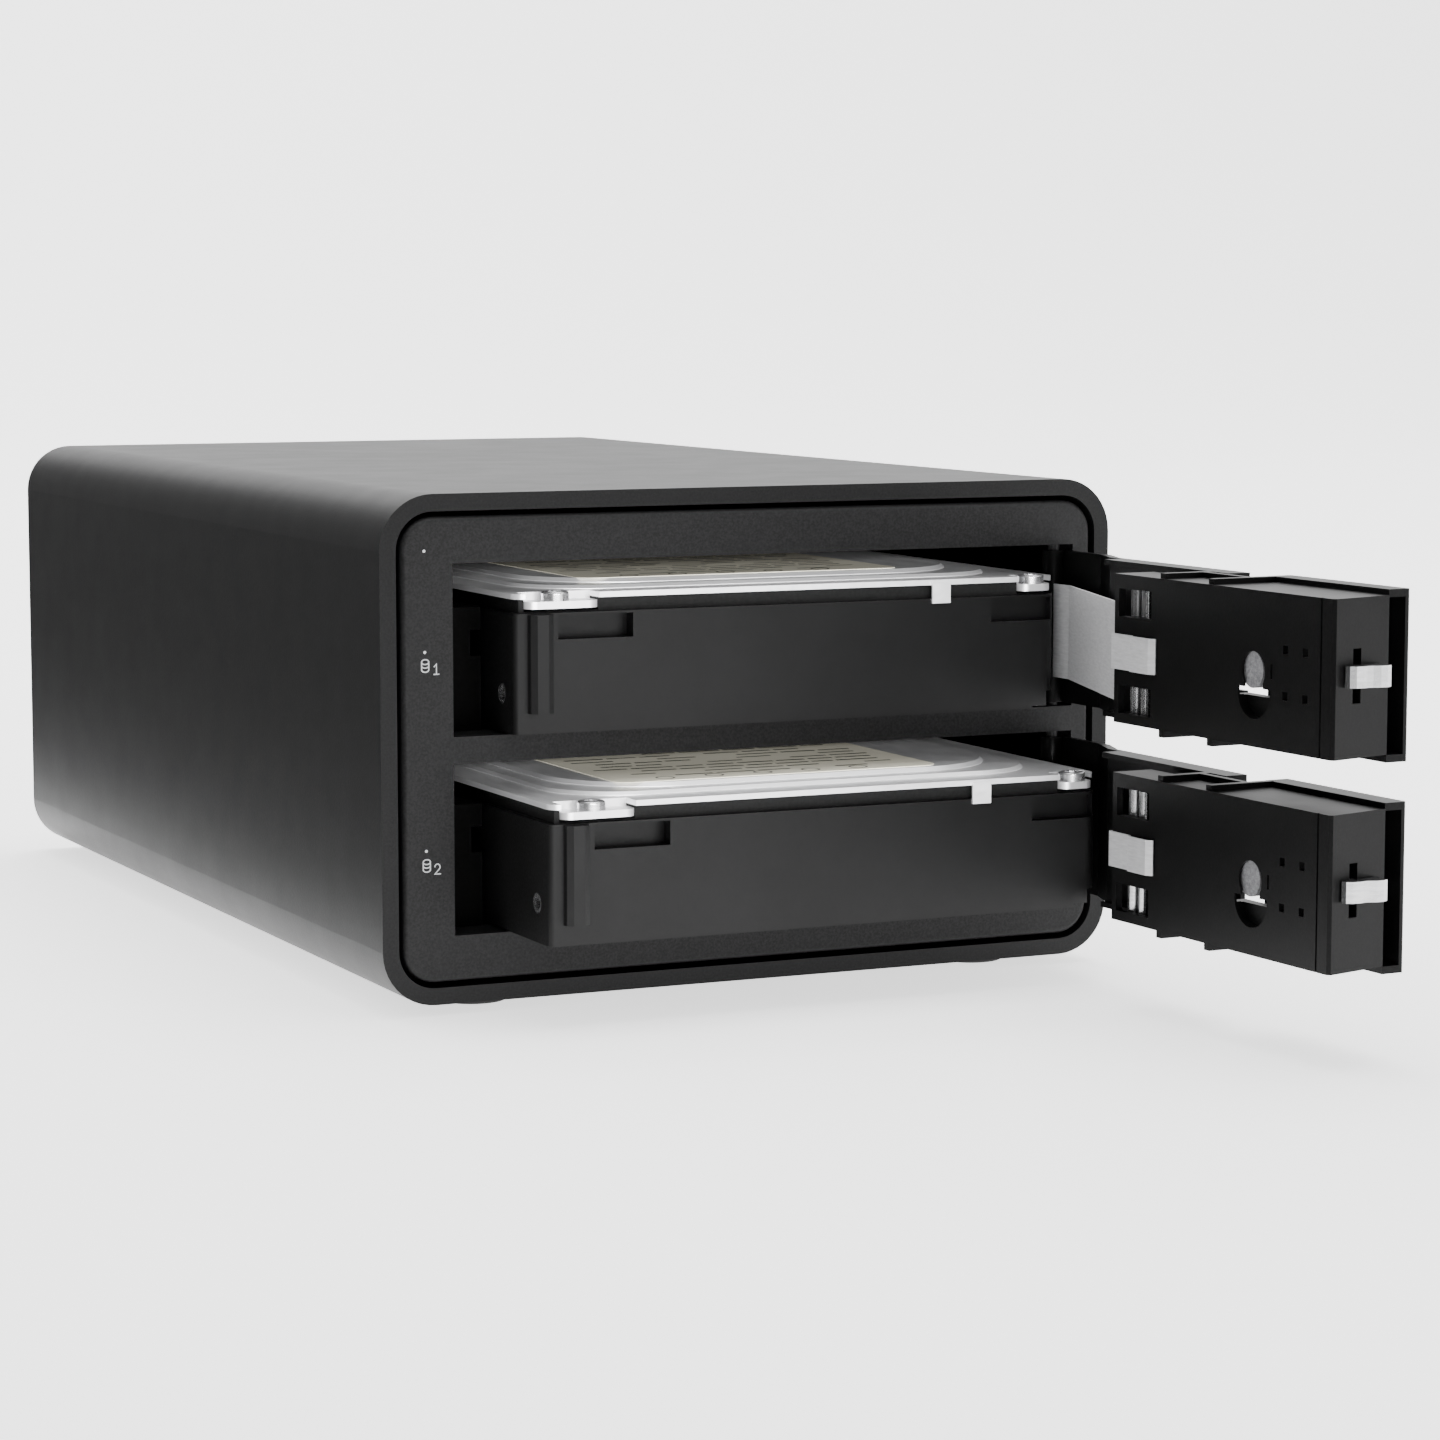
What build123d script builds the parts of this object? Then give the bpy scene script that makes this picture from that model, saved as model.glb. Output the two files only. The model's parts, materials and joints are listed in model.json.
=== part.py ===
from build123d import *
import os
from math import cos, radians, sin

# Two-bay desktop storage box with trayless 3.5 inch drive bays, in millimetres.
# X runs to the right, Y from the front to the back and Z up.  Every piece is modelled
# in the case's frame: X = 0 at the middle, Y = 0 at the front face and Z = 0 at the
# underside of the case.  At the end all pieces are shifted together, so that the
# origin is the middle of the whole object's footprint, on the surface it stands on.

os.makedirs("parts", exist_ok=True)

# ---- case ----
CASE_WIDTH = 135.8
CASE_HEIGHT = 83.9
CASE_DEPTH = 215.7
CASE_CORNER = 9.2
CASE_WALL = 2.83
CASE_MIDDLE = CASE_HEIGHT / 2
SCREW_CHANNEL_X = 61.3
SCREW_CHANNEL_Z = 35.05
SCREW_CHANNEL_RADIUS = 3.1
M3_CORE = 1.25
M3_THREAD = 1.2
M3_HEAD = 2.7
FOOT_HEIGHT = 1.8
FOOT_RADIUS = 6.0
FOOT_X = 47.5
FOOT_INSET = 12.5

# ---- front bezel and its two bay openings ----
BEZEL_GAP = 0.9
BEZEL_DEPTH = 9.0
BEZEL_EDGE = 0.8
BAY_LEFT = -55.3
BAY_RIGHT = 60.8
BAY_HEIGHT = 28.4
BAY_PITCH = 32.8
UPPER_BAY_BOTTOM = 44.1
BAY_BOTTOM = {1: UPPER_BAY_BOTTOM, 2: UPPER_BAY_BOTTOM - BAY_PITCH}
LED_X = -60.2
LED_HEIGHT = {1: 14.1, 2: 14.3}
LED_RADIUS = 0.25
TOP_LED_Z = 74.65

# ---- 3.5 inch drives ----
DRIVE_WIDTH = 101.6
DRIVE_LENGTH = 147.0
DRIVE_HEIGHT = 24.3
DRIVE_LEFT = -46.2
DRIVE_LIFT = 0.3
DRIVE_CORNER = 2.5
DRIVE_BASE_HEIGHT = 19.8
COVER_EDGE_LOW = 22.1
COVER_EDGE_HIGH = 23.0
COVER_STEP = 23.6
TAB_LOW = 20.5
TAB_HIGH = 21.7
COVER_TABS = ((2.2, 15.2), (94.2, 100.5))
COVER_SCREWS = ((8.0, 1.8), (97.3, 1.8), (3.6, 74.0), (98.0, 74.0), (8.0, 143.6), (93.6, 143.6))
DRIVE_FRONT = {1: -4.0, 2: -18.8}
DRIVE_HOME_FRONT = 18.8

# ---- doors: hinged at their right edge, shown open ----
HINGE_X = 58.2
HINGE_Y = 2.2
DOOR_OPEN_ANGLE = 91.95
PIN_RADIUS = 1.0
PIN_BORE = 1.05
PIN_OVERLAP = 1.7
BARREL_RADIUS = 2.0
# A door's own frame: U along the door from the hinge side, W outwards from its inner face.
HINGE_U = -1.71
HINGE_W = 14.47
DOOR_LOW = 1.95
DOOR_HIGH = 26.43
RIM_LOW = 0.7
RIM_HIGH = 27.3
DOOR_END_U = 101.4
END_SLANT = 3.0
BOX_DEPTH = 12.3
GRIP_OUTER = 16.4
SHEET = 1.2
INNER_EDGE_U = 40.7
ARM_END_U = 59.5
GRIP_START_U = 66.8
GRIP_END_U = 98.3
KEYHOLE_U = 80.4
KEYHOLE_Z = 13.8
KEYHOLE_LIP = 0.4

# ---- straps that tie each door to its drive ----
STRAP_THICK = 0.35
STRAP_LOW = 5.3
STRAP_HIGH = 21.6
TONGUE_LOW = 10.8
TONGUE_HIGH = 16.6
STRAP_START_U = {1: 0.9, 2: 22.5}
REAR_STRAP_X = 55.55

# ---- cage and rear ----
CAGE_WALL = 1.2
CAGE_BACK = 167.0
BACKPLANE_FRONT = 168.4
BOARD_THICK = 1.6
PANEL_FRONT = 213.0
PANEL_BACK = 215.0
FAN_SIZE = 60.0
FAN_DEPTH = 15.0
FAN_X = 23.0
FAN_Z = 42.0
FAN_BORE = 28.5
FAN_HOLE_PITCH = 50.0
FAN_AXLE = 1.5
MAIN_BOARD_Z = 12.0
BUTTON_X = -38.0
BUTTON_Z = 58.0
BUTTON_RADIUS = 5.0

PIECES = {}


def block(x0, x1, y0, y1, z0, z1):
    """A box given by its six limits."""
    size = Box(x1 - x0, y1 - y0, z1 - z0)
    return Pos((x0 + x1) / 2, (y0 + y1) / 2, (z0 + z1) / 2) * size


def prism(points, low, high):
    """A straight-sided outline in X and Y, from one height to another."""
    face = make_face(Polyline(*points, close=True))
    return Pos(0, 0, low) * extrude(face, high - low, dir=(0, 0, 1))


def strip(points, thick, low, high):
    """Sheet of one thickness that follows a line in X and Y, with mitred bends."""
    line = Polyline(*points)
    side = offset(line, thick, side=Side.RIGHT, closed=True)
    return Pos(0, 0, low) * extrude(make_face(side.edges()), high - low, dir=(0, 0, 1))


def rounded_bar(x0, x1, z0, z1, radius, y0, y1):
    """A bar along Y with a round-cornered section."""
    section = Pos((x0 + x1) / 2, y0, (z0 + z1) / 2) * (Plane.XZ * RectangleRounded(x1 - x0, z1 - z0, radius))
    return extrude(section, y1 - y0, dir=(0, 1, 0))


def upright(radius, x, y, low, high):
    """A cylinder along Z."""
    return Pos(x, y, (low + high) / 2) * Cylinder(radius, high - low)


def rod_y(radius, x, z, y0, y1):
    """A cylinder along Y."""
    return Pos(x, (y0 + y1) / 2, z) * Rot(90, 0, 0) * Cylinder(radius, y1 - y0)


def rod_x(radius, x0, x1, y, z):
    """A cylinder along X."""
    return Pos((x0 + x1) / 2, y, z) * Rot(0, 90, 0) * Cylinder(radius, x1 - x0)


def keep(node, shape):
    """Files a piece, or several separate ones as one group, under its node's name."""
    solids = [solid for piece in shape for solid in piece.solids()] if isinstance(shape, list) else shape.solids()
    PIECES[node] = solids[0] if len(solids) == 1 else Compound(solids)


# ---------------------------------------------------------------- case

def channel_places():
    """Middles of the four screw channels in the case's corners."""
    places = []
    for side in (-1, 1):
        for level in (-1, 1):
            places.append((side * SCREW_CHANNEL_X, CASE_MIDDLE + level * SCREW_CHANNEL_Z))
    return places


def case_tube():
    half = CASE_WIDTH / 2
    outer = rounded_bar(-half, half, 0, CASE_HEIGHT, CASE_CORNER, 0, CASE_DEPTH)
    inner_radius = CASE_CORNER - CASE_WALL
    hollow = rounded_bar(-half + CASE_WALL, half - CASE_WALL, CASE_WALL, CASE_HEIGHT - CASE_WALL,
                         inner_radius, -1, CASE_DEPTH + 1)
    tube = outer - hollow
    for x, z in channel_places():
        tube += rod_y(SCREW_CHANNEL_RADIUS, x, z, BEZEL_DEPTH + 1, PANEL_FRONT) & outer
        tube -= rod_y(M3_CORE, x, z, BEZEL_DEPTH + 1, PANEL_FRONT + 1)
    return tube


def feet():
    places = []
    for x in (-FOOT_X, FOOT_X):
        for y in (FOOT_INSET, CASE_DEPTH - FOOT_INSET):
            pad = upright(FOOT_RADIUS, x, y, -FOOT_HEIGHT, 0)
            places.append(fillet(pad.edges().group_by(Axis.Z)[0], 0.6))
    return places


def front_bezel():
    half = CASE_WIDTH / 2 - CASE_WALL - BEZEL_GAP
    low = CASE_WALL + BEZEL_GAP
    high = CASE_HEIGHT - low
    plate = rounded_bar(-half, half, low, high, CASE_CORNER - low, 0, BEZEL_DEPTH)
    plate = fillet(plate.edges().group_by(Axis.Y)[0], BEZEL_EDGE)
    for bay, bottom in BAY_BOTTOM.items():
        plate -= block(BAY_LEFT, BAY_RIGHT, -1, BEZEL_DEPTH + 1, bottom, bottom + BAY_HEIGHT)
        plate -= upright(PIN_RADIUS, HINGE_X, HINGE_Y, bottom - PIN_OVERLAP, bottom + BAY_HEIGHT + PIN_OVERLAP)
        plate -= rod_y(LED_RADIUS, LED_X, bottom + LED_HEIGHT[bay], -1, BEZEL_DEPTH + 1)
    plate -= rod_y(LED_RADIUS, LED_X, TOP_LED_Z, -1, BEZEL_DEPTH + 1)
    return plate


def led_light_pipes():
    pipes = [rod_y(LED_RADIUS, LED_X, BAY_BOTTOM[bay] + LED_HEIGHT[bay], 0, BEZEL_DEPTH) for bay in BAY_BOTTOM]
    return pipes + [rod_y(LED_RADIUS, LED_X, TOP_LED_Z, 0, BEZEL_DEPTH)]


def bezel_clips():
    """Four spring clips that hold the bezel in the mouth of the tube."""
    clips = []
    for x in (-30, 30):
        clips.append(block(x - 5, x + 5, BEZEL_DEPTH, BEZEL_DEPTH + 8, 3.75, 5.0)
                     + block(x - 5, x + 5, BEZEL_DEPTH + 6, BEZEL_DEPTH + 8, 3.0, 5.0))
        clips.append(block(x - 5, x + 5, BEZEL_DEPTH, BEZEL_DEPTH + 8, 78.9, 80.15)
                     + block(x - 5, x + 5, BEZEL_DEPTH + 6, BEZEL_DEPTH + 8, 78.9, 80.9))
    return clips


# ---------------------------------------------------------------- cage

def drive_cage():
    low = BAY_BOTTOM[2] - CAGE_WALL
    high = BAY_BOTTOM[1] + BAY_HEIGHT + CAGE_WALL
    cage = block(BAY_LEFT - CAGE_WALL, BAY_RIGHT + CAGE_WALL, BEZEL_DEPTH, CAGE_BACK, low, high)
    for bottom in BAY_BOTTOM.values():
        cage -= block(BAY_LEFT, BAY_RIGHT, BEZEL_DEPTH - 1, CAGE_BACK + 1, bottom, bottom + BAY_HEIGHT)
    slot_length = 9.0
    for step in range(7):
        middle = 34 + 20 * step
        for bottom in BAY_BOTTOM.values():
            cage -= block(-70, 70, middle - slot_length / 2, middle + slot_length / 2,
                          bottom + 21.5, bottom + 25.5)
        for x in (-30, 0, 30):
            cage -= block(x - slot_length, x + slot_length, middle - 3, middle + 3, high - CAGE_WALL - 1, high + 1)
            cage -= block(x - slot_length, x + slot_length, middle - 3, middle + 3, low - 1, low + CAGE_WALL + 1)
    return cage


def guide_rails(side):
    """Plastic runners beside the drives, one for each bay."""
    rails = []
    for bottom in BAY_BOTTOM.values():
        if side == "left":
            rail = block(BAY_LEFT, DRIVE_LEFT - 0.4, 20, CAGE_BACK - 4, bottom, bottom + 20)
            lead_in = prism([(-49, 19), (DRIVE_LEFT, 19), (DRIVE_LEFT, 23)], bottom - 1, bottom + 21)
        else:
            rail = block(56.4, BAY_RIGHT, 20, CAGE_BACK - 4, bottom, bottom + 20)
            lead_in = prism([(59, 19), (56.3, 19), (56.3, 23)], bottom - 1, bottom + 21)
        rails.append(rail - lead_in)
    return rails


def catch_pillar(bay):
    """Pillar beside the bay's mouth, with the notch that the door's latch bolt enters."""
    bottom = BAY_BOTTOM[bay]
    pillar = block(BAY_LEFT, -47.3, 8.0, 17.6, bottom, bottom + 20.5)
    pillar -= block(-49.2, -47, 5.6, 15.0, bottom + 12.4, bottom + 16.7)
    return fillet(pillar.edges().filter_by(Axis.Z).sort_by(Axis.Y)[0], 1.0)


# ---------------------------------------------------------------- doors

def on_door(shape, bay):
    """Puts a piece, modelled in a door's frame with Z from the bay's bottom, on its open door."""
    swing = Location((HINGE_X, HINGE_Y, BAY_BOTTOM[bay]), (0, 0, DOOR_OPEN_ANGLE - 180))
    return swing * Location((-HINGE_U, -HINGE_W, 0)) * shape


def both_rims(outline, inner):
    """A rim on the door's top and bottom edges, reaching in by a depth from the outer rims."""
    lower = prism(outline, RIM_LOW, inner)
    upper = prism(outline, RIM_LOW + RIM_HIGH - inner, RIM_HIGH)
    return lower + upper


def door_arm():
    """Back wall that carries the door from the hinge barrel to the box."""
    wall = prism([(HINGE_U, 16.4), (14, 16.4), (20.5, 13.9), (ARM_END_U, 13.6), (ARM_END_U, 12.7),
                  (20, 12.9), (19, 12.9), (12, 15.5), (HINGE_U, 15.5)], RIM_LOW, RIM_HIGH)
    barrel = upright(BARREL_RADIUS, HINGE_U, HINGE_W, RIM_LOW, RIM_HIGH)
    flange = [(22.5, 9.5), (ARM_END_U, 9.5), (ARM_END_U, 13.5), (22.5, 13.5)]
    arm = wall + barrel + both_rims(flange, 1.6)
    arm -= block(46, ARM_END_U + 1, 11, 15, 8.2, 22.4)
    return arm - upright(PIN_BORE, HINGE_U, HINGE_W, RIM_LOW - 1, RIM_HIGH + 1)


def door_box():
    """Hollow box of the door: inner face, end wall and the shelves between them."""
    end = DOOR_END_U
    slant = END_SLANT * (SHEET / BOX_DEPTH)
    body = prism([(INNER_EDGE_U, 0), (end - 0.6, 0), (end - 0.1, 0.5), (end - END_SLANT, BOX_DEPTH),
                  (GRIP_START_U, BOX_DEPTH), (GRIP_START_U, 8.3), (53.5, 8.3), (53.5, 7.5), (INNER_EDGE_U, 7.5)],
                 DOOR_LOW, DOOR_HIGH)
    hollow = prism([(INNER_EDGE_U - 1, SHEET), (end - SHEET - slant, SHEET), (end - SHEET - END_SLANT, BOX_DEPTH + 1),
                    (GRIP_START_U - 0.1, BOX_DEPTH + 1), (GRIP_START_U - 0.1, 9), (INNER_EDGE_U - 1, 9)],
                   DOOR_LOW + SHEET, DOOR_HIGH - SHEET)
    box = body - hollow
    box += block(INNER_EDGE_U + 0.3, 53.5, 6.3, 7.5, DOOR_LOW, DOOR_HIGH)
    box += block(74.0, 87.0, SHEET, 3.6, DOOR_LOW, 9.7)
    rib_a = [(53.5, 0.4), (55.0, 0.4), (55.0, 13.0), (53.5, 13.0)]
    rib_b = [(67.0, 0.6), (68.5, 0.6), (68.5, BOX_DEPTH), (67.0, BOX_DEPTH)]
    edge = [(53.5, 7.5), (68.5, 7.5), (68.5, 8.6), (53.5, 8.6)]
    for outline in (rib_a, rib_b, edge):
        box += both_rims(outline, DOOR_LOW + SHEET)
    return box


def keyhole():
    """Round finger hole with a wider half-round bowl under it."""
    hole = rod_y(3.1, KEYHOLE_U, KEYHOLE_Z, -1, SHEET + 0.5)
    neck = block(KEYHOLE_U - 2.6, KEYHOLE_U + 2.6, -1, SHEET + 0.5, KEYHOLE_Z - 3.4, KEYHOLE_Z)
    bowl = rod_y(4.4, KEYHOLE_U + 0.2, 10.7, -1, SHEET + 0.5)
    bowl &= block(70, 90, -1, SHEET + 0.5, 0, 11.2)
    return hole + neck + bowl


def door_frame():
    frame = door_arm() + door_box()
    for low in (3.6, 19.5):
        frame -= block(42.0, 51.6, -1, SHEET + 0.2, low, low + 4.6)
    frame -= keyhole()
    frame -= block(71.5, 87.0, KEYHOLE_LIP, SHEET + 0.2, 9.8, 18.5)
    for u in (88.9, 94.1):
        for z in (10.6, 17.75):
            frame -= block(u - 0.65, u + 0.65, -1, SHEET + 0.2, z - 0.65, z + 0.65)
    frame -= block(84.95, 85.45, -1, SHEET + 0.2, 12.9, 15.2)
    frame -= block(97.9, 98.3, -1, 0.35, 0, RIM_HIGH)
    frame -= block(94, 104, 4.3, 6.1, 10.3, 18.7)
    return frame


def door_grip():
    """Shallow tray on the outer side of the door, open at the free end as a finger pull."""
    tray = block(GRIP_START_U, GRIP_END_U, BOX_DEPTH, GRIP_OUTER, RIM_LOW, RIM_HIGH)
    tray -= block(GRIP_START_U + SHEET, GRIP_END_U + 1, BOX_DEPTH - 1, GRIP_OUTER - 1.0, RIM_LOW + SHEET,
                  RIM_HIGH - SHEET)
    return fillet(tray.edges().filter_by(Axis.Z).sort_by(Axis.Y)[-1], 0.6)


def latch_bolt():
    """Bright steel nose with two bumps on the door's end, and its stem through the slot."""
    lean = END_SLANT / BOX_DEPTH
    gap = 0.25
    bumps = [(102.3, 10.0), (102.9, 8.9), (102.9, 7.7), (102.4, 6.6), (102.3, 5.8), (102.6, 4.8), (102.5, 3.5),
             (102.0, 2.6)]
    inner_side = [(DOOR_END_U + gap - lean * 2.4, 2.4), (DOOR_END_U + gap - lean * 10.3, 10.3)]
    nose = prism(inner_side + bumps, 12.9, 16.2)
    stem = block(95.8, 101, 4.6, 5.8, 12.9, 16.2)
    return nose + stem


def latch_slider():
    """Bar inside the door with the round finger tab that shows in the keyhole."""
    bar = block(76.5, 95.8, 4.6, 5.8, 12.2, 16.6)
    tab = rod_y(2.9, 79.2, KEYHOLE_Z + 0.1, KEYHOLE_LIP + 0.3, 2.5)
    link = block(79.0, 80.2, 2.2, 4.8, 12.2, 15.6)
    return bar + tab + link


def latch_spring():
    """Bent leaf spring that pushes the slider towards the catch."""
    return strip([(80.5, 6.2), (84.0, 7.7), (88.0, 9.3), (92.0, 7.7), (95.0, 6.3)], 0.3, 12.6, 16.2)


def strap_front(bay):
    """Steel strap of the door: a wide band, then a tongue that lies on the inner face."""
    start = STRAP_START_U[bay]
    knee = {1: (6.0, 12.9), 2: (24.0, 12.5)}[bay]
    band = strip([(40.2, 0.9), knee, (start, knee[1])], STRAP_THICK, STRAP_LOW, STRAP_HIGH)
    tongue = strip([(40.2, 0.9), (40.4, -0.05), (46.3, -0.05), (47.0, -0.7), (52.2, -0.8), (53.2, -0.1)],
                   STRAP_THICK, TONGUE_LOW, TONGUE_HIGH)
    return band + tongue


def strap_anchor():
    """Two upright pins behind the windows, which the strap's rolled end turns round."""
    pins = [upright(1.0, 43.6, 2.5, DOOR_LOW + SHEET, DOOR_HIGH - SHEET)]
    pins.append(upright(0.8, 46.6, 2.3, DOOR_LOW + SHEET, DOOR_HIGH - SHEET))
    return pins


def strap_rear(bay):
    """Rear stretch of the strap: along the drive's side and round its back corner."""
    front = DRIVE_FRONT[bay] + 4.0
    back = DRIVE_FRONT[bay] + DRIVE_LENGTH
    base = BAY_BOTTOM[bay]
    side = block(REAR_STRAP_X, REAR_STRAP_X + STRAP_THICK, front, back + 1.0, base + STRAP_LOW, base + STRAP_HIGH - 3)
    foot = block(50.5, REAR_STRAP_X + STRAP_THICK, back + 0.1, back + 1.0, base + STRAP_LOW, base + STRAP_HIGH - 3)
    return side + foot


def hinge_pin(bay):
    base = BAY_BOTTOM[bay]
    return upright(PIN_RADIUS, HINGE_X, HINGE_Y, base - PIN_OVERLAP, base + BAY_HEIGHT + PIN_OVERLAP)


# ---------------------------------------------------------------- drives

def in_bay(shape, bay):
    """Puts a piece, modelled from the drive's left front bottom corner, in its bay."""
    return Pos(DRIVE_LEFT, DRIVE_FRONT[bay], BAY_BOTTOM[bay] + DRIVE_LIFT) * shape


def drive_base():
    """Cast aluminium base: the drive's tub, with its raised front rib, pockets and mounting holes."""
    base = block(0, DRIVE_WIDTH, 0, DRIVE_LENGTH, 0, DRIVE_BASE_HEIGHT)
    right_edges = base.edges().filter_by(Axis.Z).filter_by_position(Axis.X, DRIVE_WIDTH - 1, DRIVE_WIDTH + 1)
    base = fillet(right_edges, DRIVE_CORNER)
    base = fillet(base.edges().filter_by(Axis.Z).filter_by_position(Axis.X, -1, 1), 0.8)
    base += prism([(2.3, 0.5), (2.6, -0.9), (3.6, -1.4), (5.6, -1.4), (6.6, -0.9), (7.0, 0.5)], 3.4, 19.6)
    base -= block(7.8, 21.2, -1, 2.6, 15.4, 19.4)
    base -= block(88.6, 100.6, -1, 2.0, 15.4, 19.4)
    for left, right in COVER_TABS:
        base -= block(left - 0.4, right + 0.4, -1, 5.7, TAB_LOW - 0.1, DRIVE_BASE_HEIGHT + 1)
    base -= block(96.9, DRIVE_WIDTH + 1, -1, 3.5, -1, 3.0)
    for y in (5.5, 44.5, 105.0):
        base -= rod_x(1.7, -1, 3.0, y, 6.4)
        base -= rod_x(1.7, DRIVE_WIDTH - 3.0, DRIVE_WIDTH + 1, y, 6.4)
    base -= block(6, DRIVE_WIDTH - 6, 20, DRIVE_LENGTH + 1, -1, 2.6)
    return base - block(30, 72, DRIVE_LENGTH - 6, DRIVE_LENGTH + 1, 2.0, 8.0)


def drive_gasket():
    gasket = block(1.2, DRIVE_WIDTH - 1.2, 1.0, DRIVE_LENGTH - 1.0, DRIVE_BASE_HEIGHT, COVER_EDGE_LOW)
    gasket -= block(7, DRIVE_WIDTH - 7, 7, DRIVE_LENGTH - 7, 19, 25)
    for left, right in COVER_TABS:
        gasket -= block(left - 0.1, right + 0.1, 0, 5.3, 20, 25)
    for x, y in COVER_SCREWS:
        gasket -= upright(1.3, x, y, 20, 25)
    return gasket


def rounded_slab(inset, radius, low, high):
    """Round-cornered slab over the drive, set in from its outline."""
    outline = RectangleRounded(DRIVE_WIDTH - 2 * inset, DRIVE_LENGTH - 2 * inset, radius)
    slab = extrude(outline, high - low)
    return Pos(DRIVE_WIDTH / 2, DRIVE_LENGTH / 2, low) * slab


def drive_cover():
    """Pressed steel lid in three steps, with its front screw tabs and clip."""
    edge = rounded_slab(0.25, 2.2, COVER_EDGE_LOW, COVER_EDGE_HIGH)
    first = rounded_slab(6.1, 13.0, COVER_EDGE_HIGH, COVER_STEP)
    first = chamfer(first.edges().group_by(Axis.Z)[-1], 0.5)
    second = rounded_slab(9.8, 18.0, COVER_STEP, DRIVE_HEIGHT)
    second = chamfer(second.edges().group_by(Axis.Z)[-1], 0.6)
    cover = edge + first + second
    for left, right in COVER_TABS:
        tab = block(left, right, -0.4, 5.2, TAB_LOW, TAB_HIGH)
        cover += fillet(tab.edges().filter_by(Axis.Z).group_by(Axis.Y)[0], 1.8)
        cover += block(left, right, 4.2, 5.2, TAB_LOW, COVER_EDGE_LOW + 0.1)
        cover -= block(left - 0.05, right + 0.05, -1, 4.2, TAB_HIGH, COVER_EDGE_HIGH + 0.1)
    cover += block(76.9, 80.4, -0.4, -0.02, 19.0, COVER_EDGE_LOW + 0.5)
    cover += block(76.9, 80.4, -0.4, 1.0, COVER_EDGE_LOW, COVER_EDGE_LOW + 0.5)
    for x, y in COVER_SCREWS:
        cover -= upright(1.3, x, y, TAB_LOW - 1, 30)
    return cover


def cover_screws():
    """Star-drive screws that hold the lid to the base."""
    screws = []
    slot = Box(2.4, 0.7, 1.0)
    for x, y in COVER_SCREWS:
        seat = TAB_HIGH if y < 5 else COVER_EDGE_HIGH
        head = upright(2.3, x, y, seat, seat + 1.5)
        head = fillet(head.edges().group_by(Axis.Z)[-1], 0.35)
        star = Pos(x, y, seat + 1.5) * (slot + Rot(0, 0, 60) * slot + Rot(0, 0, 120) * slot)
        screws.append(head + upright(1.2, x, y, seat - 1.0, seat) - star)
    return screws


def drive_label():
    sheet = extrude(RectangleRounded(60, 98, 3), 0.1)
    return Pos(47, 60.5, DRIVE_HEIGHT) * sheet


def drive_board():
    """Controller board under the drive, with its data and power plug at the back."""
    board = block(8, DRIVE_WIDTH - 8, 40, DRIVE_LENGTH - 5, 1.0, 2.5)
    plug = block(31, 71, DRIVE_LENGTH - 6, DRIVE_LENGTH - 5, 2.5, 7.5)
    return board + plug


# ---------------------------------------------------------------- electronics and rear

def backplane():
    board = block(-52, 60, BACKPLANE_FRONT, BACKPLANE_FRONT + BOARD_THICK, 12, 73)
    for z in (27, 58):
        for x in (-40, 45):
            board -= block(x - 5, x + 5, BACKPLANE_FRONT - 1, BACKPLANE_FRONT + 3, z - 6, z + 6)
    return board


def sata_sockets():
    """Bay sockets, each reaching forward into the home drive's plug recess."""
    sockets = []
    back = DRIVE_HOME_FRONT + DRIVE_LENGTH
    for bottom in BAY_BOTTOM.values():
        low = bottom + DRIVE_LIFT
        body = block(DRIVE_LEFT + 31, DRIVE_LEFT + 71, back + 0.4, BACKPLANE_FRONT, low + 2.4, low + 9)
        tongue = block(DRIVE_LEFT + 33, DRIVE_LEFT + 69, back - 4.6, back + 0.4, low + 3.4, low + 6.6)
        sockets.append(body + tongue)
    return sockets


def main_board():
    front = BACKPLANE_FRONT + BOARD_THICK
    return block(-62, -9, front, PANEL_FRONT - 1.2, MAIN_BOARD_Z, MAIN_BOARD_Z + BOARD_THICK)


def processor_heatsink():
    base = MAIN_BOARD_Z + BOARD_THICK
    sink = block(-48, -24, 172, 190, base, base + 4)
    for step in range(6):
        x = -48 + 4.56 * step
        sink += block(x, x + 1.2, 172, 190, base + 4, base + 14)
    return sink


def port_shell(x0, x1, height, depth, wall, hollow_depth):
    """Open-mouthed metal or plastic socket that stands on the main board."""
    base = MAIN_BOARD_Z + BOARD_THICK
    shell = block(x0, x1, PANEL_BACK - depth, PANEL_BACK, base, base + height)
    return shell - block(x0 + wall, x1 - wall, PANEL_BACK - hollow_depth, PANEL_BACK + 1, base + wall,
                         base + height - wall)


def ethernet_port():
    tongue = block(-55.2, -48.8, PANEL_BACK - 11, PANEL_BACK - 1.5, MAIN_BOARD_Z + BOARD_THICK + 0.5,
                   MAIN_BOARD_Z + BOARD_THICK + 2.2)
    return port_shell(-60, -44, 13.4, 21, 1.6, 12) + tongue


def usb_port():
    tongue = block(-37.8, -32.2, PANEL_BACK - 10, PANEL_BACK - 1.5, MAIN_BOARD_Z + BOARD_THICK + 4.2,
                   MAIN_BOARD_Z + BOARD_THICK + 7.0)
    return port_shell(-41, -29, 11.0, 16, 1.0, 9.5) + tongue


def power_inlet():
    base = MAIN_BOARD_Z + BOARD_THICK
    body = block(-24, -14, PANEL_BACK - 14, PANEL_BACK, base, base + 11)
    body -= rod_y(3.2, -19, base + 5.5, PANEL_BACK - 10, PANEL_BACK + 1)
    return body + rod_y(1.0, -19, base + 5.5, PANEL_BACK - 10, PANEL_BACK - 1.0)


def port_openings():
    base = MAIN_BOARD_Z + BOARD_THICK
    cut = block(-60, -44, PANEL_FRONT - 1, PANEL_BACK + 1, base, base + 13.4)
    cut += block(-41, -29, PANEL_FRONT - 1, PANEL_BACK + 1, base, base + 11)
    return cut + block(-24, -14, PANEL_FRONT - 1, PANEL_BACK + 1, base, base + 11)


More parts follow.
